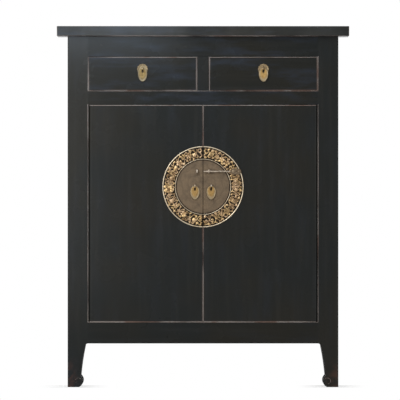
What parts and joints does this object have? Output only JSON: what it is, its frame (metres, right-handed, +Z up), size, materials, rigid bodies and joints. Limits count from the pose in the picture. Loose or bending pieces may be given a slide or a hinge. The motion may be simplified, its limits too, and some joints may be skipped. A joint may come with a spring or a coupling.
{
  "type": "kang cabinet",
  "caption": "Tall lacquered cabinet on hoof feet: drawers over a pair of pivoting doors with a round brass lock plate, sliding lock pin and hanging leaf pulls.",
  "frame": {"origin": "on the floor below the middle of the top board", "axes": "+Z up, front of the cabinet towards -Y, +X to the right of someone facing it"},
  "size_m": [0.972, 0.46, 1.2],
  "materials": {
    "black_lacquer": "worn black lacquer, satin, rubbed through at the arrises",
    "bare_wood": "bare elm, planed and aged",
    "brass": "aged cast brass",
    "plate_bronze": "dull patinated plate"
  },
  "bodies": {
    "carcass": {"top_frame_front": "black_lacquer", "top_frame_back": "black_lacquer", "top_frame_left": "black_lacquer", "top_frame_right": "black_lacquer", "top_panel": "black_lacquer", "top_battens": "bare_wood", "post_front_left": "black_lacquer", "post_front_right": "black_lacquer", "post_back_left": "black_lacquer", "post_back_right": "black_lacquer", "front_rail_top": "black_lacquer", "front_rail_middle": "black_lacquer", "front_rail_bottom": "black_lacquer", "drawer_divider": "black_lacquer", "side_rail_top_left": "black_lacquer", "side_rail_bottom_left": "black_lacquer", "side_panel_left": "black_lacquer", "side_rail_top_right": "black_lacquer", "side_rail_bottom_right": "black_lacquer", "side_panel_right": "black_lacquer", "back_rail_top": "black_lacquer", "back_rail_middle": "black_lacquer", "back_rail_bottom": "black_lacquer", "back_panel_upper": "black_lacquer", "back_panel_lower": "black_lacquer", "floor_board": "bare_wood", "shelf": "bare_wood", "shelf_cleats": "bare_wood", "drawer_runners": "bare_wood"},
    "left_door": {"door_left_pivot_stile": "black_lacquer", "door_left_board": "black_lacquer", "door_left_battens": "bare_wood", "lock_disc_left": "plate_bronze", "lock_ring_left": "brass", "door_left_pull_eye": "brass", "staple_left": "brass"},
    "left_drawer": {"drawer_left_front": "black_lacquer", "drawer_left_outer_side": "bare_wood", "drawer_left_inner_side": "bare_wood", "drawer_left_back": "bare_wood", "drawer_left_bottom": "bare_wood", "drawer_left_pull_plate": "brass"},
    "right_door": {"door_right_pivot_stile": "black_lacquer", "door_right_board": "black_lacquer", "door_right_battens": "bare_wood", "lock_disc_right": "plate_bronze", "lock_ring_right": "brass", "door_right_pull_eye": "brass", "staple_right": "brass"},
    "right_drawer": {"drawer_right_front": "black_lacquer", "drawer_right_outer_side": "bare_wood", "drawer_right_inner_side": "bare_wood", "drawer_right_back": "bare_wood", "drawer_right_bottom": "bare_wood", "drawer_right_pull_plate": "brass"},
    "lock_pin": {"lock_pin": "brass"},
    "left_door_pull": {"door_left_pull": "brass"},
    "left_drawer_pull": {"drawer_left_pull": "brass"},
    "right_door_pull": {"door_right_pull": "brass"},
    "right_drawer_pull": {"drawer_right_pull": "brass"}
  },
  "joints": [
    {"name": "left_door_pivot", "type": "hinge", "parent": "carcass", "child": "left_door", "pos_m": [-0.3695, -0.191, 0.216], "axis": [0, 0, -1], "range_deg": [0, 100]},
    {"name": "right_door_pivot", "type": "hinge", "parent": "carcass", "child": "right_door", "pos_m": [0.3695, -0.191, 0.216], "axis": [0, 0, 1], "range_deg": [0, 100]},
    {"name": "left_drawer_slide", "type": "slide", "parent": "carcass", "child": "left_drawer", "axis": [0, -1, 0], "range_m": [0, 0.3]},
    {"name": "right_drawer_slide", "type": "slide", "parent": "carcass", "child": "right_drawer", "axis": [0, -1, 0], "range_m": [0, 0.3]},
    {"name": "lock_pin_slide", "type": "slide", "parent": "right_door", "child": "lock_pin", "axis": [1, 0, 0], "range_m": [-0.067, 0.012]},
    {"name": "left_door_pull_swing", "type": "hinge", "parent": "left_door", "child": "left_door_pull", "pos_m": [-0.027, -0.2075, 0.667], "axis": [-1, 0, 0], "range_deg": [-5, 95]},
    {"name": "right_door_pull_swing", "type": "hinge", "parent": "right_door", "child": "right_door_pull", "pos_m": [0.027, -0.2075, 0.667], "axis": [-1, 0, 0], "range_deg": [-5, 95]},
    {"name": "left_drawer_pull_swing", "type": "hinge", "parent": "left_drawer", "child": "left_drawer_pull", "pos_m": [-0.201, -0.2075, 1.059], "axis": [-1, 0, 0], "range_deg": [-5, 95]},
    {"name": "right_drawer_pull_swing", "type": "hinge", "parent": "right_drawer", "child": "right_drawer_pull", "pos_m": [0.201, -0.2075, 1.059], "axis": [-1, 0, 0], "range_deg": [-5, 95]}
  ]
}
